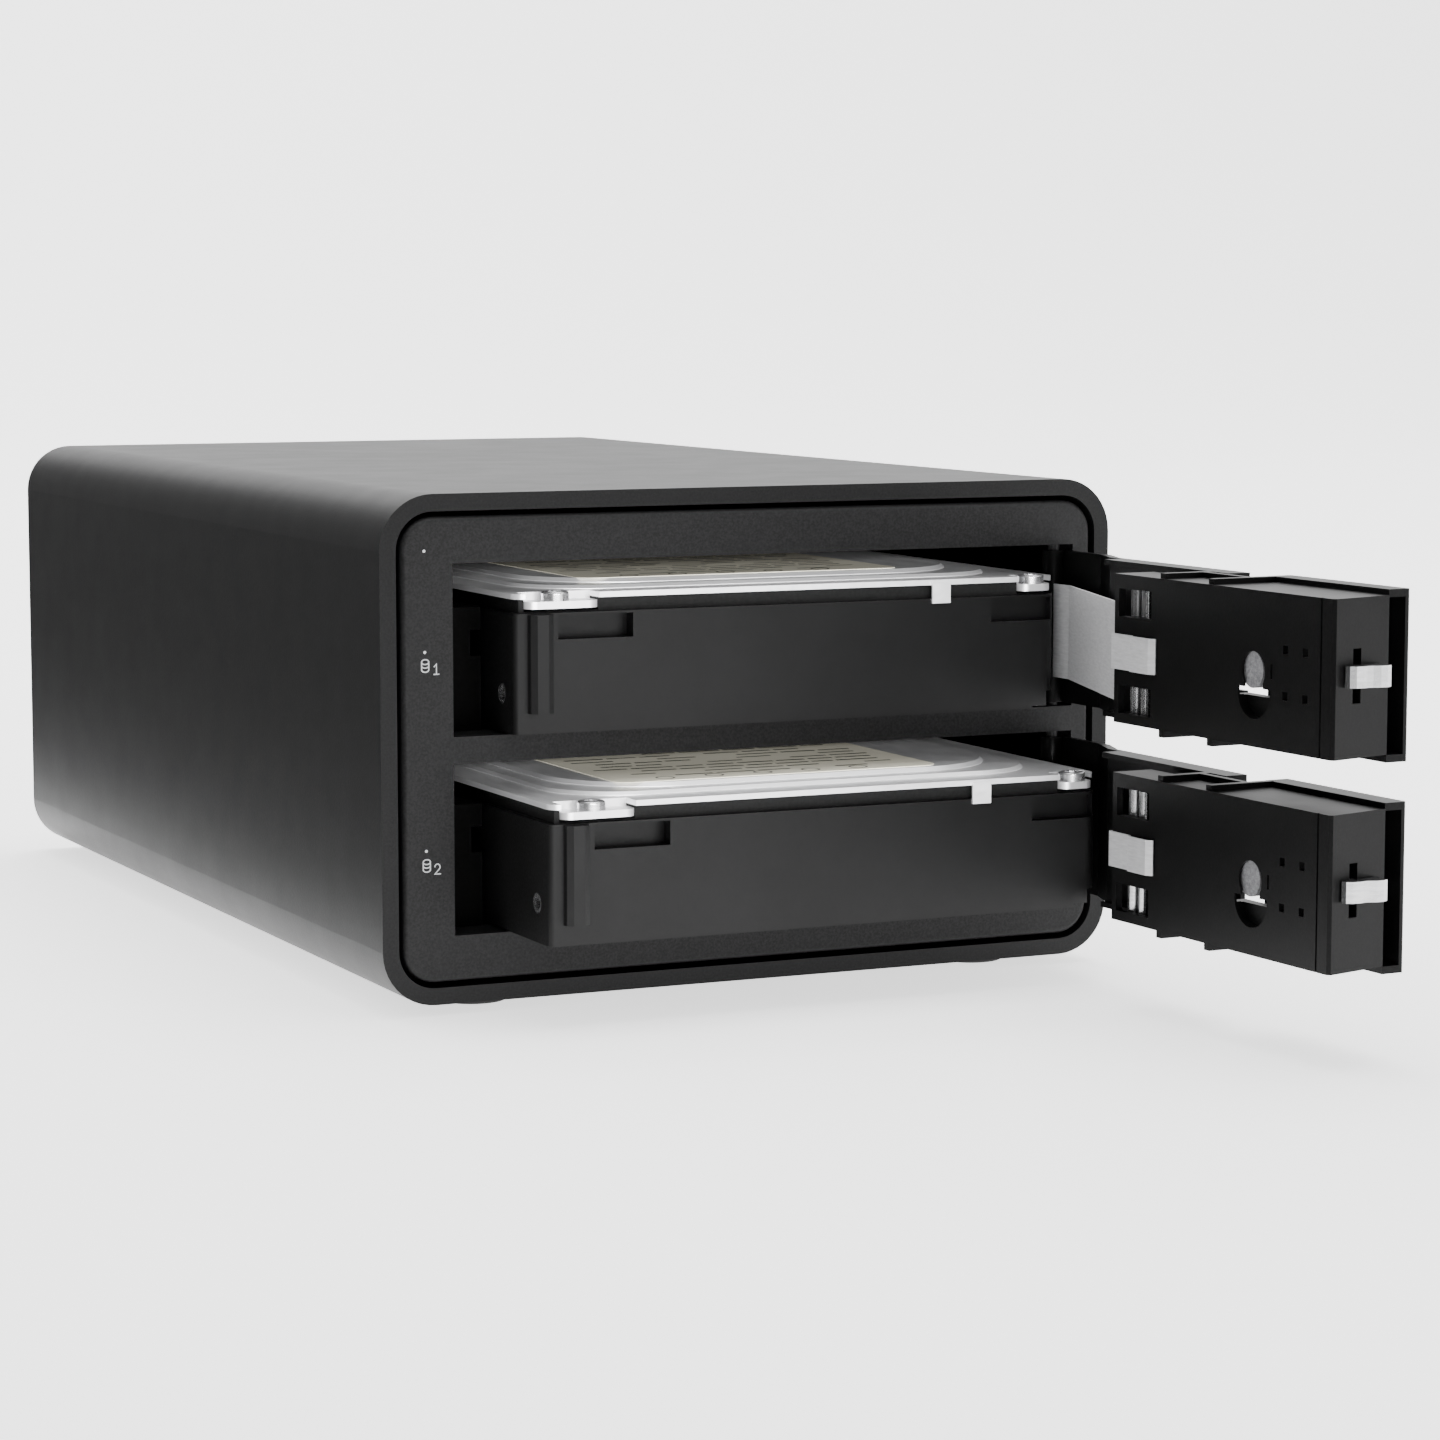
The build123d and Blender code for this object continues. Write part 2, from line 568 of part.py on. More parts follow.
def fan_corners():
    half = FAN_HOLE_PITCH / 2
    return [(FAN_X + sx * half, FAN_Z + sz * half) for sx in (-1, 1) for sz in (-1, 1)]


def rear_panel():
    half = CASE_WIDTH / 2 - CASE_WALL - 0.2
    low = CASE_WALL + 0.2
    panel = rounded_bar(-half, half, low, CASE_HEIGHT - low, CASE_CORNER - low, PANEL_FRONT, PANEL_BACK)
    panel -= port_openings()
    panel -= rod_y(BUTTON_RADIUS + 0.35, BUTTON_X, BUTTON_Z, PANEL_FRONT - 1, PANEL_BACK + 1)
    for ring in range(1, 5):
        count = 6 * ring
        for step in range(count):
            turn = radians(360 * step / count)
            x = FAN_X + 6.3 * ring * cos(turn)
            z = FAN_Z + 6.3 * ring * sin(turn)
            panel -= rod_y(2.3, x, z, PANEL_FRONT - 1, PANEL_BACK + 1)
    for x, z in fan_corners() + channel_places():
        panel -= rod_y(M3_THREAD + 0.3, x, z, PANEL_FRONT - 1, PANEL_BACK + 1)
    return panel


def panel_screws(places, tip):
    """Cross-head screws through the rear panel, their heads on its outer face."""
    screws = []
    for x, z in places:
        shank = rod_y(M3_THREAD, x, z, tip, PANEL_BACK)
        head = rod_y(M3_HEAD - 0.2, x, z, PANEL_BACK, PANEL_BACK + 0.7)
        cross = Pos(x, PANEL_BACK + 0.7, z) * (Box(2.6, 0.8, 0.5) + Box(0.5, 0.8, 2.6))
        screws.append(shank + head - cross)
    return screws


def fan_frame():
    half = FAN_SIZE / 2
    front = PANEL_FRONT - FAN_DEPTH
    frame = block(FAN_X - half, FAN_X + half, front, PANEL_FRONT, FAN_Z - half, FAN_Z + half)
    frame = fillet(frame.edges().filter_by(Axis.Y), 4)
    frame -= rod_y(FAN_BORE, FAN_X, FAN_Z, front - 1, PANEL_FRONT + 1)
    hub = rod_y(11.5, FAN_X, FAN_Z, front, front + 2)
    for turn in (45, 135, 225, 315):
        spoke = Pos(FAN_X, front + 1, FAN_Z) * Rot(0, turn, 0) * Pos(20, 0, 0) * Box(19, 2, 2.4)
        hub += spoke
    frame += hub
    for x, z in fan_corners():
        frame -= rod_y(M3_CORE, x, z, front - 1, PANEL_FRONT + 1)
    return frame + rod_y(FAN_AXLE, FAN_X, FAN_Z, front + 1, front + 10)


def fan_rotor():
    front = PANEL_FRONT - FAN_DEPTH
    hub = rod_y(12.5, FAN_X, FAN_Z, front + 2.6, front + 12.5)
    hub = fillet(hub.edges().group_by(Axis.Y)[-1], 1.0)
    blade_zone = rod_y(27.3, FAN_X, FAN_Z, front + 2.6, front + 12.0)
    for step in range(7):
        blade = Pos(19.5, 0, 0) * Rot(38, 0, 0) * Box(17, 1.1, 16)
        hub += (Pos(FAN_X, front + 7.3, FAN_Z) * Rot(0, 360 * step / 7, 0) * blade) & blade_zone
    return hub - rod_y(FAN_AXLE + 0.05, FAN_X, FAN_Z, front + 1, front + 10.3)


def power_button():
    cap = rod_y(BUTTON_RADIUS, BUTTON_X, BUTTON_Z, PANEL_BACK - 5, PANEL_BACK + 0.6)
    cap = fillet(cap.edges().group_by(Axis.Y)[-1], 0.4)
    return cap + rod_y(BUTTON_RADIUS + 1.2, BUTTON_X, BUTTON_Z, PANEL_BACK - 5, PANEL_FRONT - 0.4)


def button_switch():
    """Switch and its bracket behind the power button."""
    front = PANEL_BACK - 7.5
    bracket = block(BUTTON_X - 10, BUTTON_X + 10, front - 5, front - 3.5, BUTTON_Z - 8, BUTTON_Z + 8)
    for side in (-1, 1):
        edge = BUTTON_X + side * 9.2
        bracket += block(edge - 0.8, edge + 0.8, front - 4, PANEL_FRONT, BUTTON_Z - 5, BUTTON_Z + 5)
    return bracket + block(BUTTON_X - 3, BUTTON_X + 3, front - 3.5, front, BUTTON_Z - 3, BUTTON_Z + 3)


# ---------------------------------------------------------------- the whole

keep("case_tube", case_tube())
keep("rubber_feet", feet())
keep("front_bezel", front_bezel())
keep("bezel_clips", bezel_clips())
keep("led_light_pipes", led_light_pipes())
keep("drive_cage", drive_cage())
keep("guide_rails_left", guide_rails("left"))
keep("guide_rails_right", guide_rails("right"))
keep("backplane_board", backplane())
keep("backplane_sockets", sata_sockets())
keep("main_board", main_board())
keep("processor_heatsink", processor_heatsink())
keep("ethernet_port", ethernet_port())
keep("usb_port", usb_port())
keep("power_inlet", power_inlet())
keep("rear_panel", rear_panel())
keep("rear_panel_screws", panel_screws(channel_places(), PANEL_FRONT - 8))
keep("fan_screws", panel_screws(fan_corners(), PANEL_FRONT - 10))
keep("fan_frame", fan_frame())
keep("fan_rotor", fan_rotor())
keep("power_button", power_button())
keep("button_switch", button_switch())

for bay in BAY_BOTTOM:
    keep(f"catch_pillar_{bay}", catch_pillar(bay))
    keep(f"hinge_pin_{bay}", hinge_pin(bay))
    keep(f"door_{bay}_frame", on_door(door_frame(), bay))
    keep(f"door_{bay}_grip", on_door(door_grip(), bay))
    keep(f"latch_{bay}_bolt", on_door(latch_bolt(), bay))
    keep(f"latch_{bay}_slider", on_door(latch_slider(), bay))
    keep(f"latch_{bay}_spring", on_door(latch_spring(), bay))
    keep(f"strap_{bay}_front", on_door(strap_front(bay), bay))
    keep(f"strap_{bay}_anchor", [on_door(pin, bay) for pin in strap_anchor()])
    keep(f"strap_{bay}_rear", strap_rear(bay))
    keep(f"drive_{bay}_base", in_bay(drive_base(), bay))
    keep(f"drive_{bay}_gasket", in_bay(drive_gasket(), bay))
    keep(f"drive_{bay}_cover", in_bay(drive_cover(), bay))
    keep(f"drive_{bay}_screws", [in_bay(screw, bay) for screw in cover_screws()])
    keep(f"drive_{bay}_label", in_bay(drive_label(), bay))
    keep(f"drive_{bay}_board", in_bay(drive_board(), bay))

boxes = [shape.bounding_box() for shape in PIECES.values()]
front_end = min(box.min.Y for box in boxes)
rear_end = max(box.max.Y for box in boxes)
to_part_frame = Pos(0, -(front_end + rear_end) / 2, FOOT_HEIGHT)
print("case frame to part frame:", to_part_frame.position)
for node, shape in PIECES.items():
    export_step(to_part_frame * shape, f"parts/{node}.step")
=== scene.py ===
import json
import math

import bmesh
import bpy
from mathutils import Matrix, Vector


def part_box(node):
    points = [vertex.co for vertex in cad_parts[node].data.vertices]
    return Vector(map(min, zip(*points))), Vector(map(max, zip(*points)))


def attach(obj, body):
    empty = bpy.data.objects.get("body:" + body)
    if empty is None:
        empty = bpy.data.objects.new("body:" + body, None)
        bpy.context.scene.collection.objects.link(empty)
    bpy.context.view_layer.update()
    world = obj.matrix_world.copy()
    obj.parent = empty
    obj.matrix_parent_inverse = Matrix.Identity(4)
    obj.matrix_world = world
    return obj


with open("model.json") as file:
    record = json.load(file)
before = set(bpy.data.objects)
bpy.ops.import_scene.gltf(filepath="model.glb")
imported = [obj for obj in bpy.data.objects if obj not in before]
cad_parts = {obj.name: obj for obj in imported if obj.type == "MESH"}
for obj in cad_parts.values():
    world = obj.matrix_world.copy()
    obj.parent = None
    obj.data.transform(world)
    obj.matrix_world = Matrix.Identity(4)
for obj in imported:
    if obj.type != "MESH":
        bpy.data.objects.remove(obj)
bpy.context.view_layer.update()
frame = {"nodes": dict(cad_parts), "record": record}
NODES = frame["nodes"]

MM = 0.001
BAYS = (1, 2)
CASE_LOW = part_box("case_tube")[0]
FRONT_Y = CASE_LOW[1]
CASE_FLOOR_Z = CASE_LOW[2]

# Node sockets that several materials set.
SHINE = "Specular IOR Level"
GLOW = "Emission Strength"
GLOW_COLOUR = "Emission Color"


# ---------------------------------------------------------------- materials

class Shader:
    """A principled material and short ways to add nodes to it."""

    def __init__(self, name, base, roughness, metallic=0.0):
        self.material = bpy.data.materials.new(name)
        self.material.use_nodes = True
        self.tree = self.material.node_tree
        self.surface = self.tree.nodes["Principled BSDF"]
        self.base = base
        self.surface.inputs["Base Color"].default_value = (*base, 1)
        self.surface.inputs["Roughness"].default_value = roughness
        self.surface.inputs["Metallic"].default_value = metallic
        coordinates = self.tree.nodes.new("ShaderNodeTexCoord")
        self.place = coordinates.outputs["Object"]

    def stretch(self, scale):
        """Object coordinates stretched by a scale on each axis."""
        mapping = self.tree.nodes.new("ShaderNodeMapping")
        mapping.inputs["Scale"].default_value = scale
        self.tree.links.new(self.place, mapping.inputs["Vector"])
        return mapping.outputs["Vector"]

    def noise(self, scale, detail=3.0, vector=None, rough=0.55):
        node = self.tree.nodes.new("ShaderNodeTexNoise")
        node.inputs["Scale"].default_value = scale
        node.inputs["Detail"].default_value = detail
        node.inputs["Roughness"].default_value = rough
        self.tree.links.new(vector or self.place, node.inputs["Vector"])
        return node.outputs["Fac"]

    def span(self, value, low, high, start=0.3, end=0.7):
        """Maps a factor to a range of values."""
        node = self.tree.nodes.new("ShaderNodeMapRange")
        node.inputs["From Min"].default_value = start
        node.inputs["From Max"].default_value = end
        node.inputs["To Min"].default_value = low
        node.inputs["To Max"].default_value = high
        self.tree.links.new(value, node.inputs["Value"])
        return node.outputs["Result"]

    def tint(self, value, low, high, start=0.3, end=0.7):
        """Colours the surface between two brightnesses of its base colour."""
        ramp = self.tree.nodes.new("ShaderNodeValToRGB")
        first, last = ramp.color_ramp.elements
        first.position = start
        last.position = end
        first.color = (*(min(1.0, c * low) for c in self.base), 1)
        last.color = (*(min(1.0, c * high) for c in self.base), 1)
        self.tree.links.new(value, ramp.inputs["Fac"])
        self.tree.links.new(ramp.outputs["Color"], self.surface.inputs["Base Color"])

    def rough(self, value, low, high, start=0.3, end=0.7):
        self.tree.links.new(self.span(value, low, high, start, end), self.surface.inputs["Roughness"])

    def bump(self, value, strength, depth_mm):
        node = self.tree.nodes.new("ShaderNodeBump")
        node.inputs["Strength"].default_value = strength
        node.inputs["Distance"].default_value = depth_mm * MM
        self.tree.links.new(value, node.inputs["Height"])
        last = self.surface.inputs["Normal"]
        if last.is_linked:
            self.tree.links.new(last.links[0].from_socket, node.inputs["Normal"])
        self.tree.links.new(node.outputs["Normal"], last)

    def coat(self, weight, roughness):
        self.surface.inputs["Coat Weight"].default_value = weight
        self.surface.inputs["Coat Roughness"].default_value = roughness


def textured_black(name, base, roughness, grain, depth_mm, spread=0.25, shine=0.2):
    """Black moulding or paint with a fine spark-eroded grain and faint handling marks."""
    shader = Shader(name, base, roughness)
    fine = shader.noise(grain, 2.0, rough=0.7)
    broad = shader.noise(90, 4.0)
    shader.tint(fine, 1 - spread, 1 + 2 * spread, 0.35, 0.68)
    shader.rough(broad, roughness - 0.015, roughness + 0.02)
    shader.bump(fine, 0.6, depth_mm)
    shader.surface.inputs[SHINE].default_value = shine
    return shader


def brushed_metal(name, base, roughness, along, depth_mm=0.01, metallic=1.0):
    """Rolled or brushed metal with fine lines along one axis."""
    shader = Shader(name, base, roughness, metallic)
    lines = shader.noise(1.0, 4.0, shader.stretch(along), 0.6)
    marks = shader.noise(60, 5.0)
    shader.tint(lines, 0.86, 1.08)
    shader.rough(marks, roughness - 0.07, roughness + 0.1)
    shader.bump(lines, 0.25, depth_mm)
    return shader


def cast_black():
    """Black dipped aluminium casting: fine pimples, softer broad waves."""
    shader = Shader("cast_black_coat", (0.007, 0.007, 0.0072), 0.42)
    pimples = shader.noise(2100, 3.0, rough=0.65)
    waves = shader.noise(70, 3.0)
    shader.tint(waves, 0.85, 1.25)
    shader.rough(pimples, 0.36, 0.5)
    shader.bump(pimples, 0.35, 0.03)
    shader.bump(waves, 0.2, 0.15)
    shader.surface.inputs[SHINE].default_value = 0.3
    return shader


def lid_metal():
    """Satin pressed lid with a faint grain and clouding."""
    shader = Shader("lid_satin_steel", (0.74, 0.74, 0.75), 0.36, 0.72)
    grain = shader.noise(1.0, 4.0, shader.stretch((900, 120, 900)), 0.6)
    cloud = shader.noise(24, 4.0)
    shader.tint(cloud, 0.88, 1.1)
    shader.rough(grain, 0.29, 0.42)
    shader.bump(grain, 0.2, 0.012)
    return shader


def label_material():
    """Cream coated paper with faint mottling."""
    shader = Shader("label_cream_paper", (0.78, 0.75, 0.62), 0.5)
    fibre = shader.noise(1400, 4.0)
    cloud = shader.noise(45, 3.0)
    shader.tint(cloud, 0.93, 1.05)
    shader.rough(fibre, 0.42, 0.58)
    shader.bump(fibre, 0.3, 0.01)
    return shader


def board_material():
    """Green solder mask over copper tracks."""
    shader = Shader("board_solder_mask", (0.012, 0.10, 0.045), 0.3)
    voronoi = shader.tree.nodes.new("ShaderNodeTexVoronoi")
    voronoi.distance = "MANHATTAN"
    voronoi.feature = "F2"
    voronoi.inputs["Scale"].default_value = 420
    shader.tree.links.new(shader.place, voronoi.inputs["Vector"])
    tracks = voronoi.outputs["Distance"]
    shader.tint(tracks, 0.7, 1.7, 0.35, 0.5)
    shader.bump(tracks, 0.4, 0.03)
    shader.coat(0.4, 0.2)
    return shader


def rubber_material(name, base):
    shader = Shader(name, base, 0.75)
    fine = shader.noise(1600, 3.0)
    shader.tint(fine, 0.8, 1.3)
    shader.rough(fine, 0.68, 0.85)
    shader.bump(fine, 0.5, 0.03)
    return shader


def clear_plastic():
    shader = Shader("pipe_milky", (0.62, 0.63, 0.64), 0.25)
    fine = shader.noise(900, 2.0)
    shader.tint(fine, 0.9, 1.1)
    shader.coat(0.5, 0.1)
    return shader


MATERIALS = {
    "case_black": textured_black("case_fine_paint", (0.008, 0.008, 0.0083), 0.38, 2600, 0.03),
    "panel_black": textured_black("panel_paint", (0.010, 0.010, 0.0105), 0.45, 2000, 0.03),
    "bezel_black": textured_black("bezel_spark_grain", (0.010, 0.010, 0.0104), 0.42, 2400, 0.035, 0.3),
    "foot_rubber": rubber_material("foot_rubber_black", (0.018, 0.018, 0.018)),
    "light_pipe": clear_plastic(),
    "cage_black": textured_black("cage_moulding", (0.0015, 0.0015, 0.0015), 0.6, 1500, 0.03, 0.2, 0.08),
    "circuit_green": board_material(),
    "socket_black": textured_black("socket_moulding", (0.015, 0.015, 0.015), 0.35, 1200, 0.01),
    "heatsink_silver": brushed_metal("heatsink_extrusion", (0.66, 0.66, 0.67), 0.3, (1500, 60, 1500)),
    "bright_steel": brushed_metal("bright_rolled_steel", (0.6, 0.6, 0.61), 0.2, (300, 300, 2400), 0.004,
                                  0.92),
    "screw_black": textured_black("screw_black_zinc", (0.03, 0.03, 0.031), 0.3, 1800, 0.008),
    "fan_black": textured_black("fan_moulding", (0.017, 0.017, 0.018), 0.36, 1300, 0.012),
    "button_black": textured_black("button_moulding", (0.028, 0.028, 0.029), 0.3, 1700, 0.01),
    "door_black": textured_black("door_moulding", (0.003, 0.003, 0.0031), 0.36, 2300, 0.018, 0.25, 0.13),
    "slider_grey": textured_black("slider_moulding", (0.13, 0.13, 0.135), 0.4, 2000, 0.015),
    "strap_steel": brushed_metal("strap_satin_steel", (0.62, 0.62, 0.63), 0.45, (500, 500, 3000), 0.006,
                                 0.5),
    "drive_cast_black": cast_black(),
    "gasket_black": rubber_material("gasket_foam", (0.008, 0.008, 0.008)),
    "drive_lid_silver": lid_metal(),
    "label_paper": label_material(),
}

for part in frame["record"]["subparts"]:
    node = NODES[part["node"]]
    node.data.materials.clear()
    node.data.materials.append(MATERIALS[part["material_slot"]].material)


BEVEL_ANGLE = math.radians(50)


def soften(node, width_mm, segments=2):
    """Rounds a moulding's sharp edges slightly, so that they catch the light."""
    bevel = NODES[node].modifiers.new("soft_edges", "BEVEL")
    bevel.width = width_mm * MM
    bevel.segments = segments
    bevel.limit_method = "ANGLE"
    bevel.angle_limit = BEVEL_ANGLE


soften("case_tube", 0.35)
soften("front_bezel", 0.18)
soften("drive_cage", 0.2)
for bay in BAYS:
    soften(f"door_{bay}_frame", 0.16)
    soften(f"door_{bay}_grip", 0.2)
    soften(f"drive_{bay}_base", 0.22)
    soften(f"drive_{bay}_cover", 0.14)
    soften(f"latch_{bay}_bolt", 0.3, 3)
    soften(f"catch_pillar_{bay}", 0.3)


# ---------------------------------------------------------------- printed marks

def flat_strokes(name, strokes, width, place, across, up, body, material):
    """Thin printed lines: each stroke is a run of points (a, b) in mm on the plane of across and up.

    Neighbouring strokes differ a little in height, so that no two faces lie in one plane.
    """
    across, up = Vector(across), Vector(up)
    out = across.cross(up).normalized()
    mesh = bmesh.new()
    for count, stroke in enumerate(strokes):
        lift = out * (PRINT_LIFT + PRINT_STEP * (count % PRINT_LEVELS))
        rings = [[place + (across * a + up * b) * MM + rise for a, b in corners for rise in (Vector(), lift)]
                 for corners in stroke_sides(stroke, width / 2)]
        rows = [[mesh.verts.new(point) for point in ring] for ring in rings]
        for (a0, a1, b0, b1), (c0, c1, d0, d1) in zip(rows, rows[1:]):
            for face in ([a1, b1, d1, c1], [a0, c0, d0, b0], [a0, a1, c1, c0], [b0, d0, d1, b1]):
                mesh.faces.new(face)
        for a0, a1, b0, b1 in (rows[0], rows[-1]):
            mesh.faces.new([a0, b0, b1, a1])
    return add_mesh(name, mesh, body, material)


def stroke_sides(stroke, half):
    """Left and right edge points of a stroke at each of its points, mitred at the bends."""
    sides = []
    last = len(stroke) - 1
    for i, (a, b) in enumerate(stroke):
        before = stroke[max(i - 1, 0)]
        after = stroke[min(i + 1, last)]
        first = Vector((a - before[0], b - before[1])) if i else None
        second = Vector((after[0] - a, after[1] - b)) if i < last else None
        turns = [step.normalized() for step in (first, second) if step]
        along = sum(turns, Vector((0, 0))).normalized()
        reach = half / max(MITRE_LIMIT, along.dot(turns[0]))
        side = Vector((-along.y, along.x)) * reach
        cap = along * half if i in (0, last) and stroke[0] != stroke[last] else Vector((0, 0))
        middle = Vector((a, b)) + (cap if i else -cap)
        sides.append((tuple(middle + side), tuple(middle - side)))
    return sides


def add_mesh(name, mesh, body, material):
    """Turns a bmesh into an object that rides on a body."""
    data = bpy.data.meshes.new(name)
    bmesh.ops.recalc_face_normals(mesh, faces=mesh.faces)
    mesh.to_mesh(data)
    mesh.free()
    data.materials.append(material.material)
    piece = bpy.data.objects.new(name, data)
    bpy.context.scene.collection.objects.link(piece)
    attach(piece, body)
    return piece


def arc(x, y, rx, ry, start, end, count=16):
    """Points on an ellipse between two angles in degrees."""
    turns = [math.radians(start + (end - start) * i / count) for i in range(count + 1)]
    return [(x + rx * math.cos(turn), y + ry * math.sin(turn)) for turn in turns]


PRINT_LIFT = 0.012 * MM
PRINT_STEP = 0.002 * MM
PRINT_LEVELS = 8
MITRE_LIMIT = 0.5
RIGHT, BACK, UP = (1, 0, 0), (0, 1, 0), (0, 0, 1)

# Sizes of the front print in mm: the icon's half width, its place and the numeral beside it.
ICON_HALF = 0.62
ICON_LINE = 0.2
ICON_X = -60.15 * MM
ICON_ABOVE_RIM = 11.2 * MM
NUMERAL_SHIFT = Vector((1.85, 0, -0.6)) * MM
DISK_ICON = [
    arc(0, ICON_HALF, ICON_HALF, 0.4, 0, 360, 24),
    [(-ICON_HALF, ICON_HALF), (-ICON_HALF, -ICON_HALF)],
    [(ICON_HALF, ICON_HALF), (ICON_HALF, -ICON_HALF)],
    arc(0, -ICON_HALF, ICON_HALF, 0.42, 180, 360),
    arc(0, 0.0, ICON_HALF, 0.36, 200, 340),
]
NUMERALS = {
    1: [[(-0.28, 0.42), (0.1, 0.8), (0.1, -0.85)], [(-0.32, -0.85), (0.5, -0.85)]],
    2: [arc(0, 0.3, 0.45, 0.5, 170, -35) + [(-0.45, -0.85), (0.5, -0.85)]],
}

# Sizes of the label print in mm, from the label's left front corner.
LABEL_ROWS = 22
FIRST_ROW = 6
ROW_STEP = 3.6
BAR_START_LIMIT = 52
BAR_END_LIMIT = 56
BAR_GAP = 1.6
BAR_LINE = 0.8
RING_COUNT = 5
RING_STEP = 9
RING_RADIUS = 1.5
RING_LINE = 0.35

# The bush in a drive's side hole, in mm from the drive base's left front bottom corner.
BUSH_BACK = 6.9
BUSH_UP = 6.4
BUSH_OUTER = 1.68
BUSH_BORE = 1.15
BUSH_FACE = 0.06
BUSH_DEPTH = 0.9
BUSH_SIDES = 24


def front_marks():
    """Disk icons and bay numerals printed beside the bays."""
    print_ink = Shader("print_pale_ink", (0.55, 0.56, 0.57), 0.5)
    print_ink.tint(print_ink.noise(1500, 3.0), 0.85, 1.1)
    for bay in BAYS:
        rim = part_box(f"door_{bay}_frame")[0][2]
        spot = Vector((ICON_X, FRONT_Y, rim + ICON_ABOVE_RIM))
        flat_strokes(f"disk_icon_{bay}", DISK_ICON, ICON_LINE, spot, RIGHT, UP, "chassis", print_ink)
        beside = spot + NUMERAL_SHIFT
        flat_strokes(f"bay_numeral_{bay}", NUMERALS[bay], ICON_LINE, beside, RIGHT, UP, "chassis", print_ink)


def label_bars():
    """Rows of short bars of uneven length, with gaps, as lines of small print look from afar."""
    bars = []
    for row in range(LABEL_ROWS):
        level = FIRST_ROW + ROW_STEP * row
        left = 5.0 + 2.0 * math.sin(row * 1.7)
        while left < BAR_START_LIMIT:
            length = 3.0 + 4.0 * abs(math.sin(row * 2.3 + left))
            if (row * 3 + int(left)) % 5:
                bars.append([(left, level), (min(left + length, BAR_END_LIMIT), level)])
            left += length + BAR_GAP
    return bars


def label_marks():
    """Generic print on the drive labels: rows of short bars and a row of rings."""
    ink = Shader("label_dark_ink", (0.16, 0.15, 0.13), 0.55)
    ink.tint(ink.noise(900, 3.0), 0.8, 1.5)
    rings = [arc(10 + RING_STEP * i, 3.4, RING_RADIUS, RING_RADIUS, 0, 360, 20) for i in range(RING_COUNT)]
    for bay in BAYS:
        low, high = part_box(f"drive_{bay}_label")
        corner = Vector((low[0], low[1], high[2]))
        body = f"drive_{bay}"
        flat_strokes(f"label_bars_{bay}", label_bars(), BAR_LINE, corner, RIGHT, BACK, body, ink)
        flat_strokes(f"label_rings_{bay}", rings, RING_LINE, corner, RIGHT, BACK, body, ink)


def add_inserts():
    """Bright threaded bush in the front mounting hole on each drive's left side."""
    section = ((BUSH_OUTER, BUSH_DEPTH), (BUSH_OUTER, BUSH_FACE), (BUSH_BORE, BUSH_FACE),
               (BUSH_BORE, BUSH_DEPTH))
    turns = [math.tau * k / BUSH_SIDES for k in range(BUSH_SIDES)]
    for bay in BAYS:
        low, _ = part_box(f"drive_{bay}_base")
        middle = Vector((low[0], low[1] + BUSH_BACK * MM, low[2] + BUSH_UP * MM))
        mesh = bmesh.new()
        rows = []
        for radius, depth in section:
            ring = [Vector((depth, radius * math.cos(turn), radius * math.sin(turn))) for turn in turns]
            rows.append([mesh.verts.new(middle + point * MM) for point in ring])
        for ring, following in zip(rows, rows[1:] + rows[:1]):
            for i in range(BUSH_SIDES):
                k = (i + 1) % BUSH_SIDES
                mesh.faces.new([ring[i], ring[k], following[k], following[i]])
        bush = add_mesh(f"hole_bush_{bay}", mesh, f"drive_{bay}", MATERIALS["bright_steel"])


front_marks()
label_marks()
add_inserts()


# ---------------------------------------------------------------- camera, light and floor

# The camera, in metres from the case's front and floor, and in degrees.
CAMERA_X = -0.2825
CAMERA_AHEAD = 0.5901
CAMERA_UP = 0.1167
CAMERA_DIP = 6.31
CAMERA_TURN = -25.0
CAMERA_LENS = 97.26
CAMERA_SENSOR = 36

# The floor and backdrop in metres: a flat, a quarter round and a wall.
SWEEP_HALF = 5
SWEEP_FRONT = -4.0
SWEEP_BEND = 1.4
SWEEP_RADIUS = 0.8
SWEEP_TOP = 4.0
FLOOR_GLOW = 1.5
WORLD_STRENGTH = 0.6

# Cards that darken or brighten the case's reflections: corners in metres and glow.
CARDS = {
    "flag_left": ([(-3, -2, 0.002), (-0.09, -2, 0.002), (-0.09, 3, 0.002), (-3, 3, 0.002)], 0.05),
    "flag_side": ([(-1.6, -2, 0), (-1.6, 3, 0), (-1.6, 3, 1.2), (-1.6, -2, 1.2)], 0.03),
    "flag_back": ([(-0.1, 1.2, 0), (2.5, 1.2, 0), (2.5, 1.2, 0.9), (-0.1, 1.2, 0.9)], 1.7),
    "flag_corner": ([(-1.6, 1.2, 0), (-0.1, 1.2, 0), (-0.1, 1.2, 0.9), (-1.6, 1.2, 0.9)], 0.25),
}
BRIGHT_NODES = [f"drive_{bay}_{kind}" for bay in BAYS for kind in ("cover", "label", "screws")]


def add_camera():
    """Standing view from the left of the front, as the object is usually shown."""
    data = bpy.data.cameras.new("view_camera")
    data.lens = CAMERA_LENS
    data.sensor_width = CAMERA_SENSOR
    data.clip_start = 0.01
    camera = bpy.data.objects.new("view_camera", data)
    camera.location = (CAMERA_X, FRONT_Y - CAMERA_AHEAD, CASE_FLOOR_Z + CAMERA_UP)
    camera.rotation_euler = (math.radians(90 - CAMERA_DIP), 0, math.radians(CAMERA_TURN))
    bpy.context.scene.collection.objects.link(camera)
    bpy.context.scene.camera = camera


